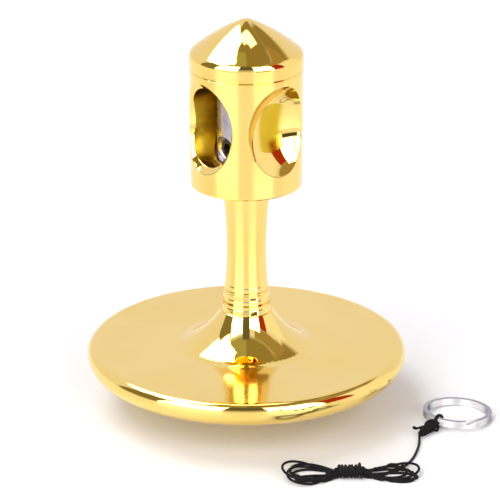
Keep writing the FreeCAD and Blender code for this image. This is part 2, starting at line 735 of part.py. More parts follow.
def cord_hank():
    """The coiled pull cord as one plain solid: two lobes of loops joined by a waist."""
    hank = new_body("cord_hank")
    waist = raised_sketch(hank, "waist", "2 * cord_radius + fit_gap")
    waist_reach = "(wrap_length / 2 + 2 * cord_radius)"
    rectangle(waist, "hank_x - " + waist_reach, "hank_x + " + waist_reach,
              "hank_y - waist_width / 2", "hank_y + waist_width / 2")
    pad(hank, "waist_pad", waist, "hank_thickness - 2 * cord_radius")
    inner = "(wrap_length / 2 + fit_gap)"
    lobes = (
        ("left_loops", "hank_x - hank_length / 2", "hank_x - " + inner),
        ("right_loops", "hank_x + " + inner, "hank_x + hank_length / 2"),
    )
    for name, low_x, high_x in lobes:
        lobe = new_sketch(hank, name, "XY_Plane")
        rectangle(lobe, low_x, high_x, "hank_y - hank_width / 2", "hank_y + hank_width / 2")
        pad(hank, name + "_pad", lobe, "hank_thickness")
    corners = upright_edges(hank.Tip.Shape, size("hank_thickness"))
    dress(hank, "Fillet", "rounding", corners, "hank_round")
    set_heading(hank)
    return hank


def cord_wrap():
    """Band of cord wound round the middle of the hank."""
    wrap = new_body("cord_wrap")
    half_length = "(wrap_length / 2)"
    outer_reach = "(waist_width / 2 + fit_gap + 2 * cord_radius)"
    outer = new_sketch(wrap, "outside", "XY_Plane")
    rectangle(outer, "hank_x - " + half_length, "hank_x + " + half_length,
              "hank_y - " + outer_reach, "hank_y + " + outer_reach)
    pad(wrap, "band", outer, "hank_thickness + 2 * cord_radius + 2 * fit_gap")
    tunnel = raised_sketch(wrap, "tunnel", "2 * cord_radius")
    inner_reach = "(waist_width / 2 + fit_gap)"
    rectangle(tunnel, "hank_x - hank_length / 2", "hank_x + hank_length / 2",
              "hank_y - " + inner_reach, "hank_y + " + inner_reach)
    cut_from(wrap, "Pocket", "passage", tunnel, Type="Length", Reversed=True,
             Length=size("hank_thickness - 2 * cord_radius + 2 * fit_gap"))
    wrap.Tip.setExpression("Length", bound("hank_thickness - 2 * cord_radius + 2 * fit_gap"))
    set_heading(wrap)
    return wrap


def along_knot(distance):
    """Layout position, as two expressions, of a point beyond the ring's middle on the knot's line."""
    reach = "(%s)" % distance
    return "ring_x + %s * cos(knot_angle)" % reach, "ring_y + %s * sin(knot_angle)" % reach


def cord_tail():
    """Length of cord from the knot to the hank, one smooth bend lying on the floor."""
    knot_x, knot_y = along_knot("ring_radius + knot_start + knot_length")
    run_x = "(tail_end_x - (%s))" % knot_x
    run_y = "(tail_end_y - (%s))" % knot_y
    offset = "(%s * cos(knot_angle) - %s * sin(knot_angle))" % (run_y, run_x)
    bend = "(%s^2 + %s^2) / (2 * %s)" % (run_x, run_y, offset)
    spine = DOC.addObject("Sketcher::SketchObject", "cord_tail_path")
    start = Vector(size(knot_x), size(knot_y), 0)
    end = Vector(size("tail_end_x"), size("tail_end_y"), 0)
    arc = spine.addGeometry(arc_between(start, end, size(bend), 1))
    pin_point(spine, arc, 1, knot_x, knot_y)
    pin_point(spine, arc, 2, "tail_end_x", "tail_end_y")
    section = DOC.addObject("Part::Circle", "cord_tail_section")
    section.setExpression("Radius", bound("cord_radius"))
    facing = Rotation(Vector(0, 0, 1), Vector(math.cos(math.radians(size("knot_angle"))),
                                              math.sin(math.radians(size("knot_angle"))), 0))
    section.Placement = Placement(start, facing)
    section.setExpression("Placement.Base.x", bound(knot_x))
    section.setExpression("Placement.Base.y", bound(knot_y))
    DOC.recompute()
    tail = DOC.addObject("Part::Sweep", "cord_tail")
    tail.Sections = [section]
    tail.Spine = (spine, ["Edge1"])
    tail.Solid = True
    set_heading(tail)
    lift(tail, "cord_radius")
    return tail


def ring_knot():
    """Coiled knot with an eye that passes round the finger ring's wire."""
    eye_x, eye_y = along_knot("ring_radius")
    coil_x, coil_y = along_knot("ring_radius + knot_start")
    turn = Rotation(Vector(0, 0, 1), size("knot_angle"))
    eye = primitive("Torus", "knot_eye", Radius1="knot_eye_radius", Radius2="cord_radius")
    eye.Placement = Placement(Vector(0, 0, 0), turn.multiply(Rotation(Vector(1, 0, 0), 90)))
    eye.setExpression("Placement.Base.x", bound(eye_x))
    eye.setExpression("Placement.Base.y", bound(eye_y))
    lift(eye, "knot_eye_radius + cord_radius")
    coil = primitive("Cylinder", "knot_coil", Radius="knot_radius", Height="knot_length")
    coil.Placement = Placement(Vector(0, 0, 0), turn.multiply(Rotation(Vector(0, 1, 0), 90)))
    coil.setExpression("Placement.Base.x", bound(coil_x))
    coil.setExpression("Placement.Base.y", bound(coil_y))
    lift(coil, "knot_radius")
    knot = boolean("MultiFuse", "ring_knot", [eye, coil], None)
    set_heading(knot)
    return knot


def resting_place():
    """Where the ring lies: one side lifted in the knot's eye, the far side on the floor."""
    eye_height = size("knot_eye_radius + cord_radius")
    far_height = size("ring_wire_height + ring_coil_gap / 2")
    span = size("2 * ring_radius + ring_wire_width / 2")
    tilt = math.degrees(math.asin((eye_height - far_height) / span))
    knot_turn = Rotation(Vector(0, 0, 1), size("knot_angle + cord_heading"))
    lean = Rotation(Vector(0, 1, 0), -tilt)
    eye_x, eye_y = along_knot("ring_radius")
    heading = Rotation(Vector(0, 0, 1), size("cord_heading"))
    eye = heading.multVec(Vector(size(eye_x), size(eye_y), eye_height))
    turn = knot_turn.multiply(lean)
    middle = eye - turn.multVec(Vector(size("ring_radius"), 0, 0))
    return Placement(middle, turn.multiply(Rotation(Vector(0, 0, 1), size("ring_step_turn"))))


def split_ring():
    """Finger ring of flat spring wire in nearly two turns, resting on the knot's eye and the floor."""
    mean = size("ring_radius")
    layer = size("ring_wire_height + ring_coil_gap")
    step = math.radians(size("ring_step_angle"))
    up = Vector(0, 0, 1)

    def around(angle, height):
        return Vector(mean * math.cos(angle), mean * math.sin(angle), height)

    def flat_turn(start, height):
        circle = Part.Circle(Vector(0, 0, height), up, mean)
        return Part.Arc(circle, start, start + 2 * math.pi - step).toShape()

    low = -layer / 2
    high = layer / 2
    rise = Part.BSplineCurve()
    shares = [index / RING_STEP_POINTS for index in range(RING_STEP_POINTS + 1)]
    rise.interpolate([around(-step * (1 - share), low + layer * share * share * (3 - 2 * share))
                      for share in shares])
    path = Part.Wire([flat_turn(0, low), rise.toShape(), flat_turn(0, high)])
    half_width = size("ring_wire_width / 2")
    half_height = size("ring_wire_height / 2")
    section = Part.makePlane(2 * half_height, 2 * half_width,
                             Vector(mean - half_width, 0, low + half_height), Vector(0, -1, 0))
    sweep = Part.BRepOffsetAPI.MakePipeShell(path)
    sweep.setBiNormalMode(up)
    sweep.add(section.OuterWire)
    sweep.build()
    sweep.makeSolid()
    ring = DOC.addObject("Part::Feature", "split_ring")
    ring.Shape = sweep.shape()
    ring.Placement = resting_place()
    return ring


NODES = (
    flywheel_disc, stem, spindle, retaining_ring, tip_holder, tip_ball,
    spindle_sleeve, sleeve_set_screw, grip_barrel, grip_cap,
)


def main():
    fill_sheet()
    parts = [make() for make in NODES]
    for place in ("lower", "upper"):
        height = place + "_bearing_z"
        parts.append(inner_race(place + "_inner_race", height))
        parts.append(outer_race(place + "_outer_race", height))
        parts.append(bearing_balls(place + "_balls", height))
        parts.append(ball_cage(place + "_cage", height))
        parts.append(bearing_shields(place + "_shields", height))
    parts += [cord_hank(), cord_wrap(), cord_tail(), ring_knot(), split_ring()]
    DOC.recompute()
    for item in DOC.Objects:
        assert "Invalid" not in item.State and "Error" not in item.State, item.Label + " failed"
    os.makedirs("parts", exist_ok=True)
    for part in parts:
        assert not part.Shape.isNull() and part.Shape.isValid(), part.Label + " has no valid shape"
        part.Shape.exportStep(os.path.join("parts", part.Label + ".step"))


main()
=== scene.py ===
"""Looks of a pull-cord spinning top: polished gold-coloured metal, steel, and a black braided cord."""
import json
import math

import bpy
import numpy as np
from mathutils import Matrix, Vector


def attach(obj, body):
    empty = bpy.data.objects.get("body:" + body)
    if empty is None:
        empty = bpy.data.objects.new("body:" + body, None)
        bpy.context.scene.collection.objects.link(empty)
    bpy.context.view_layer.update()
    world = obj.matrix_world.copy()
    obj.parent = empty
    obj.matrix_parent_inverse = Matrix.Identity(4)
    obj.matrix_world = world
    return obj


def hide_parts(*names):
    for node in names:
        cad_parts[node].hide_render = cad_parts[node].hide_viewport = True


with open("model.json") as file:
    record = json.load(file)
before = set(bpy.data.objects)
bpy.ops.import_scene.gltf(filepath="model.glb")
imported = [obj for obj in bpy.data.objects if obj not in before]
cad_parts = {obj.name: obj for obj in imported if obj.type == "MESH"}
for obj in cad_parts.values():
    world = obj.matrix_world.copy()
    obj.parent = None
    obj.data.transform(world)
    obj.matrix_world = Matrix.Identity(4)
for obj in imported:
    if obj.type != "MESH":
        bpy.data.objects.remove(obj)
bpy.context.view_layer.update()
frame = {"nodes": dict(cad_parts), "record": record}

MM = 0.001

# Camera: where it stands round the spin axis, how high, and how far its view drops
CAMERA_AZIMUTH = math.radians(-39.0)
CAMERA_REACH = 534.7 * MM
CAMERA_HEIGHT = 237.2 * MM
CAMERA_DROP = math.radians(21.14)
CAMERA_SIDESTEP = 0.67 * MM
CAMERA_LENS = 219.6

TO_CAMERA = Vector((math.sin(CAMERA_AZIMUTH), -math.cos(CAMERA_AZIMUTH), 0.0))
TO_RIGHT = Vector((math.cos(CAMERA_AZIMUTH), math.sin(CAMERA_AZIMUTH), 0.0))
UP = Vector((0.0, 0.0, 1.0))


# Node trees --------------------------------------------------------------------------------------

class Graph:
    """Adds nodes to one tree; an input is either a plain value or another node's output."""

    def __init__(self, tree):
        self.tree = tree
        tree.nodes.clear()

    def add(self, kind, inputs=None, **settings):
        node = self.tree.nodes.new(kind)
        for name, value in settings.items():
            setattr(node, name, value)
        for key, value in (inputs or {}).items():
            if isinstance(value, bpy.types.NodeSocket):
                self.tree.links.new(value, node.inputs[key])
            else:
                node.inputs[key].default_value = value
        return node

    def math(self, operation, *values):
        return self.add("ShaderNodeMath", dict(enumerate(values)), operation=operation).outputs[0]

    def dot(self, vector, direction):
        inputs = {0: vector, 1: tuple(direction)}
        return self.add("ShaderNodeVectorMath", inputs, operation="DOT_PRODUCT").outputs["Value"]

    def mix(self, share, first, second):
        """Colour between two others; 0, 6, 7 and output 2 are the mix node's colour sockets."""
        node = self.add("ShaderNodeMix", {0: share, 6: first, 7: second}, data_type="RGBA")
        return node.outputs[2]

    def rise(self, value, low, high, start=0.0, end=1.0):
        """A smooth climb from start to end while value goes from low to high."""
        inputs = {"Value": value, "From Min": low, "From Max": high, "To Min": start, "To Max": end}
        return self.add("ShaderNodeMapRange", inputs, interpolation_type="SMOOTHSTEP").outputs["Result"]

    def scaled(self, vector, scale):
        inputs = {0: vector, 1: tuple(scale)}
        return self.add("ShaderNodeVectorMath", inputs, operation="MULTIPLY").outputs["Vector"]

    def noise(self, vector, scale, detail=2.0, roughness=0.5):
        inputs = {"Vector": vector, "Scale": scale, "Detail": detail, "Roughness": roughness}
        return self.add("ShaderNodeTexNoise", inputs).outputs["Fac"]

    def place(self):
        return self.add("ShaderNodeTexCoord").outputs["Object"]

    def bump(self, height, depth, normal=None):
        inputs = {"Height": height, "Distance": depth, "Strength": 1.0}
        if normal is not None:
            inputs["Normal"] = normal
        return self.add("ShaderNodeBump", inputs).outputs["Normal"]


def rgb(red, green, blue):
    return (red, green, blue, 1.0)


def new_material(name):
    material = bpy.data.materials.new(name)
    material.use_nodes = True
    return material, Graph(material.node_tree)


def surface(graph, inputs):
    shader = graph.add("ShaderNodeBsdfPrincipled", inputs)
    output = graph.add("ShaderNodeOutputMaterial")
    graph.tree.links.new(shader.outputs[0], output.inputs[0])
    return shader


def axis_distance(graph, place):
    """Distance of a point from the spin axis."""
    flat = graph.scaled(place, (1.0, 1.0, 0.0))
    return graph.add("ShaderNodeVectorMath", {0: flat}, operation="LENGTH").outputs["Value"]


# Materials ---------------------------------------------------------------------------------------

PEEL_DEPTH = 0.8e-6
SCRATCH_DEPTH = 16.0e-6
LEVEL_FACE = (0.985, 0.999)
GOLD = rgb(0.915, 0.690, 0.215)
GOLD_DEEP = rgb(0.895, 0.655, 0.180)
# Darker gold painted onto the walls of the window cut: painted shade, not a colour of the metal
PAINTED_SHADE_GOLD = rgb(0.66, 0.44, 0.025)


def gold_finish(graph, place):
    """Tint, roughness and normal of mirror-polished gold-coloured metal: hairlines and faint peel."""
    tint = graph.mix(graph.rise(graph.noise(place, 70.0, 3.0), 0.35, 0.75), GOLD, GOLD_DEEP)
    hairline = graph.noise(graph.scaled(place, (1.0, 1.0, 12.0)), 900.0, 4.0, 0.6)
    roughness = graph.rise(hairline, 0.3, 0.8, 0.02, 0.05)
    return tint, roughness, graph.bump(graph.noise(place, 900.0, 1.0), PEEL_DEPTH)


def polished_gold(name, turning_depth, face_blur=0.0):
    """Polished gold with the fine rings that turning leaves round the axis; level faces may be softer."""
    material, graph = new_material(name)
    place = graph.place()
    tint, roughness, peel = gold_finish(graph, place)
    facing = graph.add("ShaderNodeSeparateXYZ", {0: graph.add("ShaderNodeTexCoord").outputs["Normal"]})
    roughness = graph.math("ADD", roughness, graph.rise(facing.outputs["Z"], *LEVEL_FACE, 0.0, face_blur))
    rings = graph.noise(graph.scaled(place, (0.0, 0.0, 1.0)), 6000.0, 2.0)
    normal = graph.bump(rings, turning_depth, peel)
    surface(graph, {"Base Color": tint, "Metallic": 1.0, "Roughness": roughness, "Normal": normal})
    return material


def barrel_gold(name, window_reach):
    """Polished, except the walls of the window cut along X, which keep upright tool scratches and are
    tinted a darker gold as painted shade.
    """
    material, graph = new_material(name)
    place = graph.place()
    tint, smooth, peel = gold_finish(graph, place)
    facing = graph.add("ShaderNodeSeparateXYZ", {0: graph.add("ShaderNodeTexCoord").outputs["Normal"]})
    position = graph.add("ShaderNodeSeparateXYZ", {0: place})
    across = graph.math("ABSOLUTE", facing.outputs["X"])
    beside = graph.math("ABSOLUTE", position.outputs["Y"])
    wall = graph.math("MULTIPLY", graph.rise(across, 0.15, 0.3, 1.0, 0.0),
                      graph.rise(beside, window_reach, window_reach + 0.1 * MM, 1.0, 0.0))
    scratches = graph.noise(graph.scaled(place, (1.0, 1.0, 0.12)), 4200.0, 5.0, 0.65)
    roughness = graph.math("ADD", smooth, graph.math(
        "MULTIPLY", wall, graph.rise(scratches, 0.3, 0.8, 0.10, 0.24)))
    normal = graph.bump(graph.math("MULTIPLY", scratches, wall), SCRATCH_DEPTH, peel)
    # Painted shade: the window walls are tinted a darker gold
    tint = graph.mix(wall, tint, PAINTED_SHADE_GOLD)
    surface(graph, {"Base Color": tint, "Metallic": 1.0, "Roughness": roughness, "Normal": normal})
    return material


def turned_steel(name, bright, dull, roughness, groove_depth, groove_scale=5000.0):
    """Steel with fine rings left by the lathe or the grinding wheel, a little uneven in colour."""
    material, graph = new_material(name)
    place = graph.place()
    cloud = graph.noise(place, 320.0, 4.0, 0.6)
    tint = graph.mix(graph.rise(cloud, 0.3, 0.75), bright, dull)
    lines = graph.noise(graph.scaled(place, (0.05, 0.05, 1.0)), groove_scale, 3.0, 0.6)
    grain = graph.rise(graph.math("ADD", lines, cloud), 0.7, 1.3, roughness * 0.75, roughness * 1.3)
    normal = graph.bump(lines, groove_depth)
    surface(graph, {"Base Color": tint, "Metallic": 1.0, "Roughness": grain, "Normal": normal})
    return material


def black_oxide(name):
    material, graph = new_material(name)
    place = graph.place()
    cloud = graph.noise(place, 1500.0, 3.0)
    tint = graph.mix(cloud, rgb(0.012, 0.011, 0.012), rgb(0.04, 0.036, 0.036))
    normal = graph.bump(graph.noise(place, 9000.0, 2.0), 3.0e-6)
    rough = graph.rise(cloud, 0.3, 0.7, 0.35, 0.55)
    surface(graph, {"Base Color": tint, "Metallic": 0.4, "Roughness": rough, "Normal": normal})
    return material


def natural_nylon(name):
    material, graph = new_material(name)
    place = graph.place()
    cloud = graph.noise(place, 700.0, 3.0)
    tint = graph.mix(cloud, rgb(0.62, 0.57, 0.44), rgb(0.72, 0.68, 0.56))
    normal = graph.bump(graph.noise(place, 12000.0, 2.0), 2.0e-6)
    surface(graph, {
        "Base Color": tint, "Roughness": 0.45, "Normal": normal,
        "Subsurface Weight": 0.2, "Subsurface Scale": 0.4 * MM,
    })
    return material


def nickel_wire(name):
    """Bright plated spring wire with faint drawing marks, and painted shade darkening its edges where they
    turn away from the view.
    """
    material, graph = new_material(name)
    place = graph.place()
    marks = graph.noise(graph.scaled(place, (1.0, 1.0, 6.0)), 2600.0, 4.0, 0.6)
    bright = graph.mix(graph.noise(place, 400.0), rgb(0.72, 0.72, 0.73), rgb(0.84, 0.84, 0.85))
    # Painted shade: the wire's colour darkens towards its edges, where they turn away from the view
    painted_edge_shade = graph.add("ShaderNodeLayerWeight", {"Blend": 0.5}).outputs["Facing"]
    tint = graph.mix(graph.rise(painted_edge_shade, 0.35, 0.85), bright, rgb(0.10, 0.10, 0.105))
    rough = graph.rise(marks, 0.3, 0.8, 0.06, 0.2)
    normal = graph.bump(marks, 2.0e-6)
    surface(graph, {"Base Color": tint, "Metallic": 1.0, "Roughness": rough, "Normal": normal})
    return material


def black_cord(name):
    """Dyed polyester yarn: near black, with a soft sheen and fine fibres."""
    material, graph = new_material(name)
    place = graph.place()
    fibres = graph.noise(place, 9000.0, 4.0, 0.7)
    cloud = graph.noise(place, 500.0, 2.0)
    wear = graph.math("MULTIPLY", fibres, cloud)
    tint = graph.mix(wear, rgb(0.0015, 0.0015, 0.0017), rgb(0.008, 0.008, 0.0085))
    normal = graph.bump(fibres, 18.0e-6)
    surface(graph, {
        "Base Color": tint, "Roughness": 0.62, "Normal": normal,
        "Sheen Weight": 0.01, "Sheen Roughness": 0.5, "Specular IOR Level": 0.12,
    })
    return material


FLOOR_SATIN_REACH = (0.15, 0.40)


def pale_floor(name):
    """Satin white sheet, a little glossy round the object and matt further out."""
    material, graph = new_material(name)
    place = graph.place()
    cloud = graph.noise(place, 3.0, 2.0)
    tint = graph.mix(cloud, rgb(0.84, 0.84, 0.845), rgb(0.88, 0.88, 0.88))
    satin = graph.rise(axis_distance(graph, place), *FLOOR_SATIN_REACH, 0.35, 0.0)
    surface(graph, {"Base Color": tint, "Roughness": 0.34, "Specular IOR Level": satin})
    return material


# Studio ------------------------------------------------------------------------------------------

# Share of the room's light that matt surfaces get
ROOM_ON_MATT = 0.46

# Panels of the room: name, azimuth range from the camera towards its right, elevation range,
# softness of the edges (degrees), and colour. Later panels cover earlier ones.
ROOM_WALL = rgb(0.95, 0.915, 1.03)
PANELS = (
    ("right_wall", (80, 125), (-20, 40), 4.0, rgb(1.10, 1.08, 1.15)),
    ("ceiling", (-400, 400), (62, 200), 3.0, rgb(0.33, 0.26, 0.11)),
    ("ceiling_left", (-110, 0), (62, 200), 4.0, rgb(0.44, 0.42, 0.20)),
    ("ceiling_corner", (118, 152), (40, 64), 4.0, rgb(0.34, 0.26, 0.12)),
    ("far_strip", (128, 212), (72, 82), 1.5, rgb(3.4, 3.4, 3.5)),
    ("far_strip_left", (-200, -150), (72, 82), 1.5, rgb(3.4, 3.4, 3.5)),
    ("back_panel", (-150, -70), (45, 78), 1.2, rgb(6.2, 6.2, 6.4)),
    ("shelf", (35, 125), (46, 62), 2.0, rgb(0.42, 0.31, 0.14)),
    ("doorway", (-100, -64), (-2, 50), 2.0, rgb(0.26, 0.22, 0.11)),
    ("under_camera", (-17, 15), (6, 24), 5.0, rgb(0.60, 0.58, 0.56)),
    ("behind_camera", (-17, 15), (22, 66), 2.0, rgb(0.15, 0.14, 0.10)),
    ("left_glow", (-64, -17), (-4, 10), 2.0, rgb(1.45, 1.45, 1.25)),
    ("left_softbox", (-64, -17), (9, 57), 1.0, rgb(5.6, 5.6, 5.8)),
    ("right_softbox", (15, 56), (-2, 51), 1.0, rgb(5.6, 5.6, 5.8)),
    ("light_stand", (23, 25), (8, 36), 0.6, rgb(0.8, 0.75, 0.7)),
    ("red_panel", (57, 80), (4, 46), 1.5, rgb(0.42, 0.04, 0.01)),
    ("stand_foot", (17, 50), (-9, 7), 2.0, rgb(0.10, 0.08, 0.05)),
)


def room_colour(graph):
    """Colour of the room in each direction, as the metal sees it."""
    direction = graph.add("ShaderNodeTexCoord").outputs["Generated"]
    ahead = graph.dot(direction, TO_CAMERA)
    right = graph.dot(direction, TO_RIGHT)
    azimuth = graph.math("DEGREES", graph.math("ARCTAN2", right, ahead))
    elevation = graph.math("DEGREES", graph.math("ARCSINE", graph.dot(direction, UP)))
    colour = ROOM_WALL
    for _, sides, heights, soft, tint in PANELS:
        cover = 1.0
        for value, (low, high) in ((azimuth, sides), (elevation, heights)):
            cover = graph.math("MULTIPLY", cover, graph.rise(value, low - soft, low + soft))
            cover = graph.math("MULTIPLY", cover, graph.rise(value, high - soft, high + soft, 1.0, 0.0))
        colour = graph.mix(cover, colour, tint)
    return colour


def build_room():
    """White to the camera, a small studio to whatever reflects it, and a dimmer one to matt surfaces."""
    world = bpy.data.worlds.new("studio")
    world.use_nodes = True
    bpy.context.scene.world = world
    graph = Graph(world.node_tree)
    path = graph.add("ShaderNodeLightPath")
    strength = graph.rise(path.outputs["Is Diffuse Ray"], 0.0, 1.0, 1.0, ROOM_ON_MATT)
    room = graph.add("ShaderNodeBackground", {"Color": room_colour(graph), "Strength": strength})
    white = graph.add("ShaderNodeBackground", {"Color": rgb(1.0, 1.0, 1.0), "Strength": 1.0})
    to_camera = path.outputs["Is Camera Ray"]
    blend = graph.add("ShaderNodeMixShader", {0: to_camera, 1: room.outputs[0], 2: white.outputs[0]})
    output = graph.add("ShaderNodeOutputWorld")
    graph.tree.links.new(blend.outputs[0], output.inputs[0])


FLOOR_REACH = 3.0


def build_floor():
    corners = [(-1, -1), (1, -1), (1, 1), (-1, 1)]
    mesh = bpy.data.meshes.new("floor")
    mesh.from_pydata([(x * FLOOR_REACH, y * FLOOR_REACH, 0.0) for x, y in corners], [], [(0, 1, 2, 3)])
    floor = bpy.data.objects.new("floor", mesh)
    bpy.context.scene.collection.objects.link(floor)
    mesh.materials.append(pale_floor("pale_floor"))


LAMP_POWER = 0.6


def build_lamp():
    """One large soft lamp overhead, left of the top; it lights, but isn't reflected."""
    data = bpy.data.lights.new("overhead", "AREA")
    data.shape = "DISK"
    data.size = 0.5
    data.energy = LAMP_POWER
    lamp = bpy.data.objects.new("overhead", data)
    bpy.context.scene.collection.objects.link(lamp)
    lamp.location = -0.25 * TO_RIGHT - 0.12 * TO_CAMERA + 0.8 * UP
    lamp.rotation_mode = "QUATERNION"
    lamp.rotation_quaternion = lamp.location.to_track_quat("Z", "Y")
    lamp.visible_glossy = False
    lamp.visible_camera = False


def build_camera():
    data = bpy.data.cameras.new("camera")
    data.lens = CAMERA_LENS
    data.clip_start = 10 * MM
    data.clip_end = 20.0
    camera = bpy.data.objects.new("camera", data)
    bpy.context.scene.collection.objects.link(camera)
    camera.location = TO_CAMERA * CAMERA_REACH + UP * CAMERA_HEIGHT + TO_RIGHT * CAMERA_SIDESTEP
    back = TO_CAMERA * math.cos(CAMERA_DROP) + UP * math.sin(CAMERA_DROP)
    camera.rotation_mode = "QUATERNION"
    camera.rotation_quaternion = back.to_track_quat("Z", "Y")
    bpy.context.scene.camera = camera
    bpy.context.scene.view_settings.view_transform = "Standard"


# Mesh tools --------------------------------------------------------------------------------------

def new_piece(name, points, faces, material, slot, body, *nodes):
    """A smooth-shaded mesh that rides on a body and stands for CAD nodes."""
    mesh = bpy.data.meshes.new(name)
    mesh.from_pydata(points, [], faces)
    mesh.polygons.foreach_set("use_smooth", [True] * len(mesh.polygons))
    mesh.materials.append(material)
    mesh.update()
    piece = bpy.data.objects.new(name, mesh)
    bpy.context.scene.collection.objects.link(piece)
    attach(piece, body)
    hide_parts(*nodes)
    return piece


def keep_out_of_mirrors(piece):
    """The loose cord isn't reflected in the polished gold."""
    piece.visible_glossy = False


def node_points(node):
    """Vertices of a CAD node, in metres, in the row frame."""
    mesh = frame["nodes"][node].data
    flat = np.empty(3 * len(mesh.vertices), np.float32)
    mesh.vertices.foreach_get("co", flat)
    return flat.reshape(-1, 3).astype(float)


# Stem --------------------------------------------------------------------------------------------

LATHE_SIDES = 144
LATHE_STEP = 0.07 * MM
SHARP_CORNER = math.radians(40)
LEVEL_DIGITS = 6

# Ripples left by the turning tool above the stem's foot: depth, wavelength and phase
RIPPLES = ((0.042 * MM, 2.30 * MM, 1.19), (0.006 * MM, 0.62 * MM, 0.0), (0.004 * MM, 0.43 * MM, 1.0))
RIPPLE_FADE = (5.2 * MM, 8.2 * MM)


def ripple(rise):
    """Height of the turning ripples at a distance above the stem's foot; they fade upwards."""
    low, high = RIPPLE_FADE
    share = np.clip((high - rise) / (high - low), 0.0, 1.0)
    waves = sum(depth * np.sin(2 * math.pi * rise / length + phase) for depth, length, phase in RIPPLES)
    return waves * share * share * (3 - 2 * share)


def stem_outline():
    """Radius and height round the stem's section: its CAD outline, with ripples along the waist."""
    points = node_points("stem")
    reach = np.hypot(points[:, 0], points[:, 1])
    levels = {}
    for radius, z in zip(reach, points[:, 2]):
        levels.setdefault(round(float(z), LEVEL_DIGITS), []).append(float(radius))
    heights = sorted(levels)
    bottom, foot, *waist, shoulder, top = heights
    waist_line = [(max(levels[z]), 0.0, z) for z in [foot] + waist]
    curve = even_curve(waist_line, LATHE_STEP)[:, (0, 2)]
    curve[:, 0] += ripple(curve[:, 1] - foot)
    inside = [(min(levels[bottom]), bottom), (max(levels[bottom]), bottom), (min(levels[foot]), foot)]
    outside = [(max(levels[shoulder]), shoulder), (min(levels[shoulder]), shoulder),
               (max(levels[top]), top), (min(levels[top]), top)]
    return np.vstack([inside, curve, outside])


def build_stem(material):
    """The waisted stem turned as one closed ring of its outline."""
    outline = stem_outline()
    turn = np.linspace(0.0, 2 * math.pi, LATHE_SIDES, endpoint=False)[:, None]
    rings = np.stack([outline[:, 0] * np.cos(turn), outline[:, 0] * np.sin(turn),
                      outline[:, 1] + 0.0 * turn], axis=-1)
    here = np.arange(rings.shape[0] * rings.shape[1]).reshape(rings.shape[:2])
    ahead = np.roll(here, -1, axis=0)
    quads = np.stack([here, ahead, np.roll(ahead, -1, axis=1), np.roll(here, -1, axis=1)], axis=-1)
    stem = new_piece("turned_stem", rings.reshape(-1, 3).tolist(), quads.reshape(-1, 4).tolist(),
                     material, "gold_metal", "flywheel", "stem")
    stem.data.set_sharp_from_angle(angle=SHARP_CORNER)


# Cord --------------------------------------------------------------------------------------------
# The cord is laid out in its own axes: first to the camera's right, then away from it, then up.

LAYOUT = np.array([TO_RIGHT, -TO_CAMERA, UP])


def laid_box(node):
    """Lowest and highest corner of a CAD node, measured along the cord's own axes."""
    points = node_points(node) @ LAYOUT.T
    return points.min(0), points.max(0)


def to_frame(points):
    return np.asarray(points) @ LAYOUT


def even_curve(points, spacing):
    """A smooth curve through the points, with points at an even spacing."""
    points = np.asarray(points, float)
    padded = np.vstack([2 * points[0] - points[1], points, 2 * points[-1] - points[-2]])
    steps = np.linspace(0.0, 1.0, 24, endpoint=False)[:, None]
    pieces = []
    for before, start, end, after in zip(padded, padded[1:], padded[2:], padded[3:]):
        pieces.append(0.5 * (
            2 * start + (end - before) * steps
            + (2 * before - 5 * start + 4 * end - after) * steps ** 2
            + (3 * start - before - 3 * end + after) * steps ** 3
        ))
    dense = np.vstack(pieces + [points[-1:]])
    travel = np.r_[0.0, np.cumsum(np.linalg.norm(np.diff(dense, axis=0), axis=1))]
    count = max(4, int(round(travel[-1] / spacing)) + 1)
    wanted = np.linspace(0.0, travel[-1], count)
    return np.column_stack([np.interp(wanted, travel, dense[:, axis]) for axis in range(3)])


BRAID_STRANDS = 8
BRAID_PITCH = 1.9 * MM
BRAID_RELIEF = 0.16
CORD_SIDES = 16
CORD_STEP = 0.08 * MM


def carried_frames(points):
    """Two directions across the curve at each point, carried along it without twisting."""
    tangents = np.gradient(points, axis=0)
    tangents /= np.linalg.norm(tangents, axis=1)[:, None]
    side = np.cross(tangents[0], UP)
    if np.linalg.norm(side) < 0.1:
        side = np.cross(tangents[0], TO_RIGHT)
    sides = []
    for tangent in tangents:
        side = side - tangent * (side @ tangent)
        side = side / np.linalg.norm(side)
        sides.append(side)
    sides = np.array(sides)
    return sides, np.cross(tangents, sides)


def braided_tube(centre_line, radius):
    """Points and faces of a closed braided cord along a line given in the row frame."""
    line = even_curve(centre_line, CORD_STEP)
    across, over = carried_frames(line)
    travel = np.arange(len(line))[:, None] * CORD_STEP
    turn = np.linspace(0.0, 2 * math.pi, CORD_SIDES, endpoint=False)[None, :]
    forward = BRAID_STRANDS / 2 * (turn + 2 * math.pi * travel / BRAID_PITCH)
    backward = BRAID_STRANDS / 2 * (turn - 2 * math.pi * travel / BRAID_PITCH)
    weave = np.sqrt(np.abs(np.sin(forward) * np.sin(backward)))
    from_end = np.minimum(travel, travel[::-1]) / radius
    closing = np.sqrt(1 - np.clip(1 - from_end, 0.0, 0.98) ** 2)
    size = radius * (1 - BRAID_RELIEF * (1 - weave)) * closing
    rings = (line[:, None] + across[:, None] * (size * np.cos(turn))[:, :, None]
             + over[:, None] * (size * np.sin(turn))[:, :, None])
    count = len(line)
    here = np.arange(count * CORD_SIDES).reshape(count, CORD_SIDES)
    beside = np.roll(here, -1, axis=1)
    quads = np.stack([here[:-1], beside[:-1], beside[1:], here[1:]], axis=-1).reshape(-1, 4)
    faces = quads.tolist() + [here[0, ::-1].tolist(), here[-1].tolist()]
    return rings.reshape(-1, 3).tolist(), faces


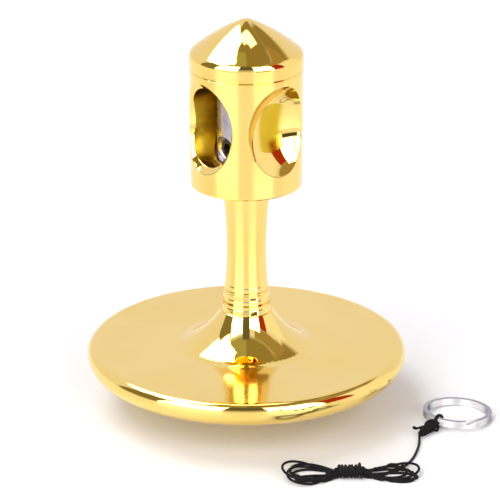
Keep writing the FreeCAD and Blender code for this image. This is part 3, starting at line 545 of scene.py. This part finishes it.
TAIL_LOW, TAIL_HIGH = laid_box("cord_tail")
HANK_LOW, HANK_HIGH = laid_box("cord_hank")
WRAP_LOW, WRAP_HIGH = laid_box("cord_wrap")
CORD_RADIUS = (TAIL_HIGH[2] - TAIL_LOW[2]) / 2
HANK_MIDDLE = (WRAP_LOW + WRAP_HIGH) / 2
HANK_REACH = (HANK_HIGH[0] - HANK_LOW[0]) / 2
HANK_HALF_WIDTH = (HANK_HIGH[1] - HANK_LOW[1]) / 2
WRAP_REACH = (WRAP_HIGH[0] - WRAP_LOW[0]) / 2

# Strands side by side through the wrap, in two rows, and how closely they are packed
STRANDS_IN_ROW = 5
PACKING = 1.04
ROW_RISE = math.sqrt(3) / 2 * CORD_RADIUS * PACKING
WRAP_HALF_WIDTH = (STRANDS_IN_ROW + 0.5) * CORD_RADIUS * PACKING + CORD_RADIUS
WRAP_HALF_HEIGHT = ROW_RISE + 2 * CORD_RADIUS
WRAP_TURNS = 7
WRAP_STEPS = 40
WRAP_SQUARENESS = 0.72
WRAP_UNEVENNESS = 0.13 * MM
LOCKING_TURNS = 1.3
LOCKING_RISE = 0.42 * MM
WRAP_MIDDLE_Z = WRAP_HALF_HEIGHT + CORD_RADIUS

# Loops of the hank, the top one first: reach as a share of half the hank's length,
# then half width and sideways shift as shares of half its width
LEFT_LOOPS = (
    (0.99, 0.70, 0.07), (0.92, 0.70, -0.35), (0.88, 0.61, 0.13), (0.85, 0.42, -0.06), (0.81, 0.18, -0.21),
)
RIGHT_LOOPS = ((1.0, 0.62, 0.29), (0.94, 0.48, -0.42), (0.84, 0.46, 0.16), (0.98, 0.26, -0.10))
LOOP_POINTS = 32
LOOP_FULLNESS = 1.4
LOOP_LIFT = 0.9 * MM

# How the loose cord settles: beads along it sink, hold their place, straighten and push apart
BEAD_SPACING = 0.4 * MM
SETTLE_STEPS = 140
SINK = 0.02 * MM
PLACE_HOLD = 0.04
STRAIGHTENING = 0.12
NEIGHBOURS = 4


def strand_slot(number):
    """Height and sideways place of one strand in the wrap: along the top row, then back below it."""
    row, place = divmod(number, STRANDS_IN_ROW)
    side = place if row == 0 else STRANDS_IN_ROW - 1 - place
    shift = (side - (STRANDS_IN_ROW - 1) / 2) * 2 + (0.5 - row)
    sideways = HANK_MIDDLE[1] + shift * CORD_RADIUS * PACKING
    return sideways, WRAP_MIDDLE_Z + (0.5 - row) * 2 * ROW_RISE


def loop_points(first, second, end, shape, height):
    """A drop-shaped loop from one strand's slot to the next, beyond one end of the wrap."""
    reach, half_width, shift = shape
    (start_y, start_z), (end_y, end_z) = strand_slot(first), strand_slot(second)
    opening = half_width * HANK_HALF_WIDTH * LOOP_FULLNESS * (1 if start_y >= end_y else -1)
    points = []
    for step in range(1, LOOP_POINTS):
        share = step / LOOP_POINTS
        away = (1 - math.cos(2 * math.pi * share)) / 2
        bulge = math.sin(2 * math.pi * share) * math.sqrt(away)
        x = HANK_MIDDLE[0] + end * (WRAP_REACH + away * (reach * HANK_REACH - CORD_RADIUS - WRAP_REACH))
        y = start_y + share * (end_y - start_y) + opening * bulge + shift * HANK_HALF_WIDTH * away
        z = start_z + share * (end_z - start_z)
        points.append((x, y, z + math.sin(math.pi * share) * height))
    return points


# Bends of the tail from the knot to the wrap: shares of its run each way, and height above the floor
TAIL_BENDS = (
    (1.0, 1.0, 0.9 * MM), (0.97, 0.76, 0.0), (0.86, 0.47, 0.0),
    (0.72, 0.28, 1.3 * MM), (0.53, 0.13, 1.9 * MM), (0.27, 0.03, 1.5 * MM),
)


def tail_points():
    """The cord's run from the knot, down to the floor and over the right loops to the wrap."""
    end_y, end_z = strand_slot(0)
    knot_x, knot_y = TAIL_HIGH[0] - CORD_RADIUS, TAIL_HIGH[1]
    leave_x, leave_y = HANK_MIDDLE[0] + WRAP_REACH, end_y
    run_x, run_y = knot_x - leave_x, knot_y - leave_y
    points = [(leave_x + along * run_x, leave_y + aside * run_y, CORD_RADIUS + rise)
              for along, aside, rise in TAIL_BENDS]
    return points + [(leave_x, end_y, end_z)]


def settle(beads, fixed):
    """Let the cord sink under its weight until it lies on the floor and on itself."""
    home = beads[:, :2].copy()
    lengths = np.linalg.norm(np.diff(beads, axis=0), axis=1)
    free = ~fixed[:, None]
    first, second = np.triu_indices(len(beads), NEIGHBOURS)
    for _ in range(SETTLE_STEPS):
        moved = beads.copy()
        moved[:, 2] -= SINK
        moved[:, :2] += PLACE_HOLD * (home - moved[:, :2])
        moved[1:-1] += STRAIGHTENING * (moved[:-2] + moved[2:] - 2 * moved[1:-1])
        gap = moved[first] - moved[second]
        distance = np.linalg.norm(gap, axis=1)
        close = distance < 2 * CORD_RADIUS
        push = gap[close] * (CORD_RADIUS / distance[close] - 0.5)[:, None]
        np.add.at(moved, first[close], push)
        np.add.at(moved, second[close], -push)
        link = np.diff(moved, axis=0)
        stretch = link * (0.5 - lengths / np.linalg.norm(link, axis=1) / 2)[:, None]
        moved[:-1] += stretch
        moved[1:] -= stretch
        moved[:, 2] = np.maximum(moved[:, 2], CORD_RADIUS)
        beads = np.where(free, moved, beads)
    return beads


def lay_cord():
    """Centre lines, in the cord's own axes, of the tail and of the hank's loops."""
    path = tail_points()
    last = 2 * STRANDS_IN_ROW - 1
    for strand in range(last + 1):
        end = -1 if strand % 2 == 0 else 1
        y, z = strand_slot(strand)
        path.append((HANK_MIDDLE[0], y, z))
        path.append((HANK_MIDDLE[0] + end * WRAP_REACH, y, z))
        if strand < last:
            shapes = LEFT_LOOPS if end < 0 else RIGHT_LOOPS
            number = strand // 2
            height = LOOP_LIFT * (len(shapes) - 1 - number)
            path += loop_points(strand, strand + 1, end, shapes[number], height)
            next_y, next_z = strand_slot(strand + 1)
            path.append((HANK_MIDDLE[0] + end * WRAP_REACH, next_y, next_z))
    beads = even_curve(path[:-1], BEAD_SPACING)
    inside = np.abs(beads[:, 0] - HANK_MIDDLE[0]) < WRAP_REACH
    inside[:2] = True
    beads = settle(beads, inside)
    seam = int(np.argmax(inside[2:])) + 2 + int(WRAP_REACH / BEAD_SPACING)
    return beads[:seam], beads[seam:]


def wrap_line():
    """Turns of cord round the bundle, slightly uneven, the last one crossing over the others."""
    points = []
    for step in range(WRAP_TURNS * WRAP_STEPS + 1):
        turn = step / WRAP_STEPS
        angle = 2 * math.pi * turn
        uneven = WRAP_UNEVENNESS * math.sin(2.4 * turn + 0.6) * math.sin(angle)
        locking = max(0.0, turn - (WRAP_TURNS - LOCKING_TURNS)) / LOCKING_TURNS
        over = LOCKING_RISE * math.sin(math.pi * min(1.0, locking)) ** 2
        wide = math.copysign(abs(math.cos(angle)) ** WRAP_SQUARENESS, math.cos(angle))
        tall = math.copysign(abs(math.sin(angle)) ** WRAP_SQUARENESS, math.sin(angle))
        length = 2 * (WRAP_REACH - CORD_RADIUS)
        x = HANK_MIDDLE[0] - length / 2 + length * turn / WRAP_TURNS + uneven
        rise = tall * (WRAP_HALF_HEIGHT + (over if tall > 0 else 0.0))
        points.append((x, HANK_MIDDLE[1] + wide * (WRAP_HALF_WIDTH + over), WRAP_MIDDLE_Z + rise))
    return np.array(points)


def joined(tubes):
    """Several closed tubes as the points and faces of one mesh."""
    points, faces = [], []
    for tube_points, tube_faces in tubes:
        start = len(points)
        points += tube_points
        faces += [[corner + start for corner in face] for face in tube_faces]
    return points, faces


# Turns round the knot's line: where they start, how wide and slanted they are, how far they drift
KNOT_TURNS = 6
KNOT_COIL_RADIUS = 3 * CORD_RADIUS
KNOT_COIL_LENGTH = 3.6 * MM
KNOT_COIL = {
    "along": 1.35 * MM, "radius": KNOT_COIL_RADIUS, "slant": 0.2 * MM,
    "turns": KNOT_TURNS, "start_angle": math.pi / 2, "drift": KNOT_COIL_LENGTH / KNOT_TURNS,
}
CROSSING_TURNS = {
    "along": 1.5 * MM, "radius": 1.15 * MM, "slant": -0.35 * MM,
    "turns": 1.6, "start_angle": 0.4, "drift": 0.45 * MM,
}
END_KNOT = {
    "along": 5.0 * MM, "radius": 2 * CORD_RADIUS, "slant": 0.25 * MM,
    "turns": 1.3, "start_angle": 0.2, "drift": 0.3 * MM,
}
EYE_TURNS = 2
TURN_STEPS = 24
BLOB_THICKENING = 1.3

# Cut end of the cord beside the coil, and the melted blob on it: reach to the left and rise, mm
CUT_END = ((0.2, 0.3), (0.9, 0.25), (1.6, 0.0), (2.2, -0.1), (2.5, 0.1))
CUT_END_BLOB = ((2.1, -0.08), (2.5, 0.08), (2.75, 0.2))


def knot_tubes():
    """Eye round the ring's wire, crossing turns beside it, coil, cut end and end knot."""
    joint = next(joint for joint in frame["record"]["behaviour"]["joints"] if joint["name"] == "ring_swing")
    eye = np.array(joint["pos_m"])
    aside = np.array(joint["axis"])
    away = np.array([aside[1], -aside[0], 0.0])
    up = np.array(UP)
    eye_radius = eye[2] - CORD_RADIUS
    coil_z = KNOT_COIL_RADIUS + CORD_RADIUS

    def spot(along, across, z):
        return eye * (1, 1, 0) + away * along + aside * across + up * z

    def ring_round(along, radius, slant, turns, start_angle, drift):
        """Turns of cord round the knot's line, slanted, drifting along it."""
        line = []
        for step in range(int(turns * TURN_STEPS) + 1):
            turn = step / TURN_STEPS
            angle = start_angle + 2 * math.pi * turn
            lean = slant * math.cos(angle)
            z = max(CORD_RADIUS, coil_z + radius * math.sin(angle))
            line.append(spot(along + drift * turn + lean, radius * math.cos(angle), z))
        return line

    eye_line = [spot(3.0 * MM, CORD_RADIUS, coil_z)]
    for step in range(EYE_TURNS * TURN_STEPS + 1):
        share = step / (EYE_TURNS * TURN_STEPS)
        angle = 2 * math.pi * EYE_TURNS * share
        across = (1 - 2 * share) * 1.15 * CORD_RADIUS
        eye_line.append(spot(eye_radius * math.cos(angle), across, eye[2] + eye_radius * math.sin(angle)))
    eye_line += [spot(2.2 * MM, -CORD_RADIUS, coil_z), spot(3.6 * MM, -CORD_RADIUS / 2, coil_z * 0.95),
                 spot(4.9 * MM, 0.0, coil_z * 0.75), spot(5.6 * MM, 0.0, CORD_RADIUS * 1.6)]
    coil = ring_round(**KNOT_COIL)
    bulk = ring_round(**CROSSING_TURNS)
    left = -np.array(TO_RIGHT)
    stub_start = spot(3.4 * MM, 0.0, coil_z * 1.2)
    stub = [stub_start + left * reach * MM + up * rise * MM for reach, rise in CUT_END]
    blob = [stub_start + left * reach * MM + up * rise * MM for reach, rise in CUT_END_BLOB]
    end_knot = ring_round(**END_KNOT)
    end_knot = [point - up * coil_z * 0.2 for point in end_knot]
    tubes = [braided_tube(line, CORD_RADIUS) for line in (eye_line, coil, bulk, stub, end_knot)]
    return tubes + [braided_tube(blob, CORD_RADIUS * BLOB_THICKENING)]


def build_cord(material):
    """The whole pull cord: loose loops, the wrap that holds them, the tail and the knot."""
    tail, hank = lay_cord()
    lines = {
        "tail_cord": (tail, "cord_tail"),
        "hank_loops": (hank, "cord_hank"),
        "hank_wrap": (wrap_line(), "cord_wrap"),
    }
    for name, (line, node) in lines.items():
        points, faces = braided_tube(to_frame(line), CORD_RADIUS)
        keep_out_of_mirrors(new_piece(name, points, faces, material, "black_cord", "pull_cord", node))
    points, faces = joined(knot_tubes())
    knot = new_piece("knot_on_ring", points, faces, material, "black_cord", "pull_cord", "ring_knot")
    keep_out_of_mirrors(knot)


build_room()
build_floor()
build_lamp()
build_camera()

GOLD_PARTS = {
    "flywheel_disc": polished_gold("disc_gold", 0.02e-6, 0.09),
    "stem": polished_gold("stem_gold", 0.3e-6),
    "tip_holder": polished_gold("holder_gold", 0.3e-6),
    "grip_barrel": barrel_gold("barrel_gold", 7.4 * MM),
    "grip_cap": polished_gold("cap_gold", 0.02e-6),
}
GROUND = turned_steel("ground_steel", rgb(0.70, 0.70, 0.72), rgb(0.58, 0.58, 0.60), 0.16, 0.6e-6)
TURNED = turned_steel("turned_steel", rgb(0.52, 0.48, 0.52), rgb(0.34, 0.31, 0.34), 0.32, 2.0e-6, 2600.0)
SPRING = turned_steel("spring_steel", rgb(0.30, 0.29, 0.28), rgb(0.20, 0.19, 0.19), 0.40, 1.0e-6)
BEARING = turned_steel("bearing_steel", rgb(0.70, 0.70, 0.71), rgb(0.60, 0.60, 0.62), 0.20, 0.6e-6)
BALL = turned_steel("ball_steel", rgb(0.78, 0.78, 0.79), rgb(0.70, 0.70, 0.72), 0.06, 0.1e-6)
SLOTS = {
    "ground_steel": GROUND,
    "turned_steel": TURNED,
    "spring_steel": SPRING,
    "bearing_steel": BEARING,
    "ball_steel": BALL,
    "black_screw": black_oxide("black_screw"),
    "cage_plastic": natural_nylon("cage_plastic"),
    "bright_ring": nickel_wire("bright_ring"),
    "black_cord": black_cord("black_cord"),
}
for part in frame["record"]["subparts"]:
    finish = GOLD_PARTS.get(part["node"]) or SLOTS[part["material_slot"]]
    mesh = frame["nodes"][part["node"]].data
    mesh.materials.clear()
    mesh.materials.append(finish)

build_stem(GOLD_PARTS["stem"])
build_cord(SLOTS["black_cord"])
